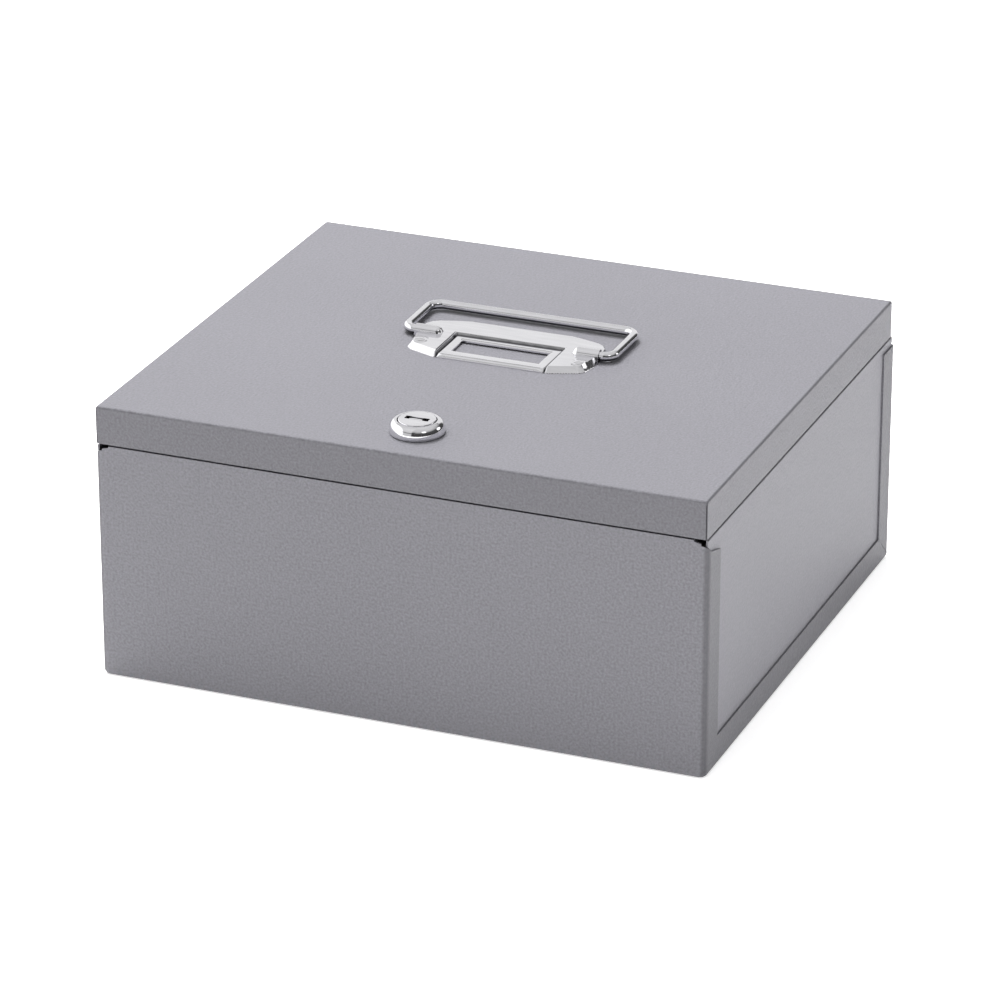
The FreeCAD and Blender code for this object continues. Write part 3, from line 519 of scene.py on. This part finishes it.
def studio():
    """Pale floor, surroundings and four soft boxes that the chrome doesn't mirror."""
    mesh = bpy.data.meshes.new("floor")
    half = 12.0
    mesh.from_pydata([(-half, -half, 0), (half, -half, 0), (half, half, 0), (-half, half, 0)],
                     [], [(0, 1, 2, 3)])
    floor = bpy.data.objects.new("floor", mesh)
    floor.location.z = CAD_LOW.z - 0.0001
    mesh.materials.append(floor_paper())
    bpy.context.collection.objects.link(floor)
    bpy.context.scene.world = studio_world()
    soft_box("rear", (-1.0, 1.1, 2.6), (1.4, 0.9), 108)
    soft_box("overhead", (-0.4, -0.5, 2.6), (2.0, 2.0), 38)
    soft_box("front_left", (-2.4, -1.9, 0.4), (1.6, 0.7), 2)
    soft_box("right", (2.6, -0.3, 0.6), (1.4, 1.2), 19)


def studio_world():
    """Surroundings that the chrome mirrors: pale behind and to the left, dark in front."""
    world = bpy.data.worlds.new("studio")
    world.use_nodes = True
    tree = world.node_tree
    link = tree.links.new

    def add(kind, **settings):
        node = tree.nodes.new("ShaderNode" + kind)
        for key, setting in settings.items():
            setattr(node, key, setting)
        return node

    def eased(source, low, high):
        node = add("MapRange", interpolation_type="SMOOTHSTEP")
        node.inputs["From Min"].default_value = low
        node.inputs["From Max"].default_value = high
        link(source, node.inputs["Value"])
        return node.outputs["Result"]

    def by_height(stops):
        """Brightness against the upward part of the direction."""
        ramp = add("ValToRGB")
        for n, (height, level) in enumerate(stops):
            stop = ramp.color_ramp.elements[n] if n < 2 else ramp.color_ramp.elements.new(height)
            stop.position = height
            stop.color = (level, level, level, 1)
        link(axes.outputs["Z"], ramp.inputs["Fac"])
        return ramp.outputs["Color"]

    def mixed(factor, first, second):
        node = add("Mix", data_type="RGBA")
        link(factor, node.inputs["Factor"])
        link(first, node.inputs["A"])
        if isinstance(second, float):
            node.inputs["B"].default_value = (second, second, second, 1)
        else:
            link(second, node.inputs["B"])
        return node.outputs["Result"]

    def towards(direction, spread, edge=2.0):
        """1 within this many degrees of the direction, and 0 beyond a soft edge."""
        near = add("VectorMath", operation="DOT_PRODUCT")
        near.inputs[1].default_value = Vector(direction).normalized()
        link(place, near.inputs[0])
        return eased(near.outputs["Value"], math.cos(math.radians(spread + edge)),
                     math.cos(math.radians(spread)))

    place = add("TexCoord").outputs["Generated"]
    axes = add("SeparateXYZ")
    link(place, axes.inputs["Vector"])
    rear = by_height([(0.0, 0.56), (0.53, 0.56), (0.58, 0.12), (0.64, 0.46)])
    front_left = by_height([(0.0, 0.40), (0.38, 0.40), (0.42, 0.08), (0.47, 0.08),
                            (0.51, 0.40), (0.90, 0.50)])
    front_right = by_height([(0.0, 0.03), (0.55, 0.04), (0.70, 0.30), (0.90, 0.42)])
    front = mixed(eased(axes.outputs["X"], -0.06, 0.0), front_left, front_right)
    room = mixed(eased(axes.outputs["Y"], -0.2, 0.1), front, rear)
    right = by_height([(0.0, 0.03), (0.45, 0.05), (0.62, 0.30), (0.80, 0.42)])
    room = mixed(eased(axes.outputs["X"], 0.10, 0.30), room, right)
    room = mixed(eased(axes.outputs["X"], -0.58, -0.64), room, 0.85)
    room = mixed(towards((0.64, -0.46, 0.62), 8), room, 1.0)
    room = mixed(towards((0.76, 0.57, 0.31), 10), room, 1.0)
    light = tree.nodes["Background"]
    # the chrome mirrors it brighter than it lights the paint, so that shadows stay
    strength = add("MapRange")
    strength.inputs["To Min"].default_value = 1.6
    strength.inputs["To Max"].default_value = 1.05
    link(add("LightPath").outputs["Is Diffuse Ray"], strength.inputs["Value"])
    link(strength.outputs["Result"], light.inputs["Strength"])
    link(room, light.inputs["Color"])
    return world


def soft_box(name, place, size, watts):
    lamp = bpy.data.lights.new(name, "AREA")
    lamp.shape = "RECTANGLE"
    lamp.size, lamp.size_y = size
    lamp.energy = watts
    box = bpy.data.objects.new(name, lamp)
    box.location = place
    box.rotation_mode = "QUATERNION"
    aim = Vector((0, 0, CAD_HIGH.z / 2)) - Vector(place)
    box.rotation_quaternion = aim.to_track_quat("-Z", "Y")
    box.visible_glossy = False
    bpy.context.collection.objects.link(box)


def camera():
    """Long lens, to the right of the front and above it."""
    azimuth, elevation = math.radians(21.84), math.radians(23.36)
    target = Vector((-0.0027, 0.0, 0.0625))
    back = Vector((math.sin(azimuth) * math.cos(elevation),
                   -math.cos(azimuth) * math.cos(elevation), math.sin(elevation)))
    data = bpy.data.cameras.new("camera")
    data.lens = 184.2
    data.sensor_width = 36.0
    data.clip_start, data.clip_end = 0.1, 50.0
    eye = bpy.data.objects.new("camera", data)
    eye.location = target + back * 2.585
    eye.rotation_mode = "QUATERNION"
    eye.rotation_quaternion = (-back).to_track_quat("-Z", "Y")
    bpy.context.collection.objects.link(eye)
    bpy.context.scene.camera = eye


finishes = paint_nodes()
handle_plate_piece(grooved_chrome())
rivet_pieces(finishes["chrome"])
bezel_piece(finishes["chrome"])
shutter_piece(finishes["chrome"])
studio()
camera()
bpy.context.scene.view_settings.view_transform = "Standard"
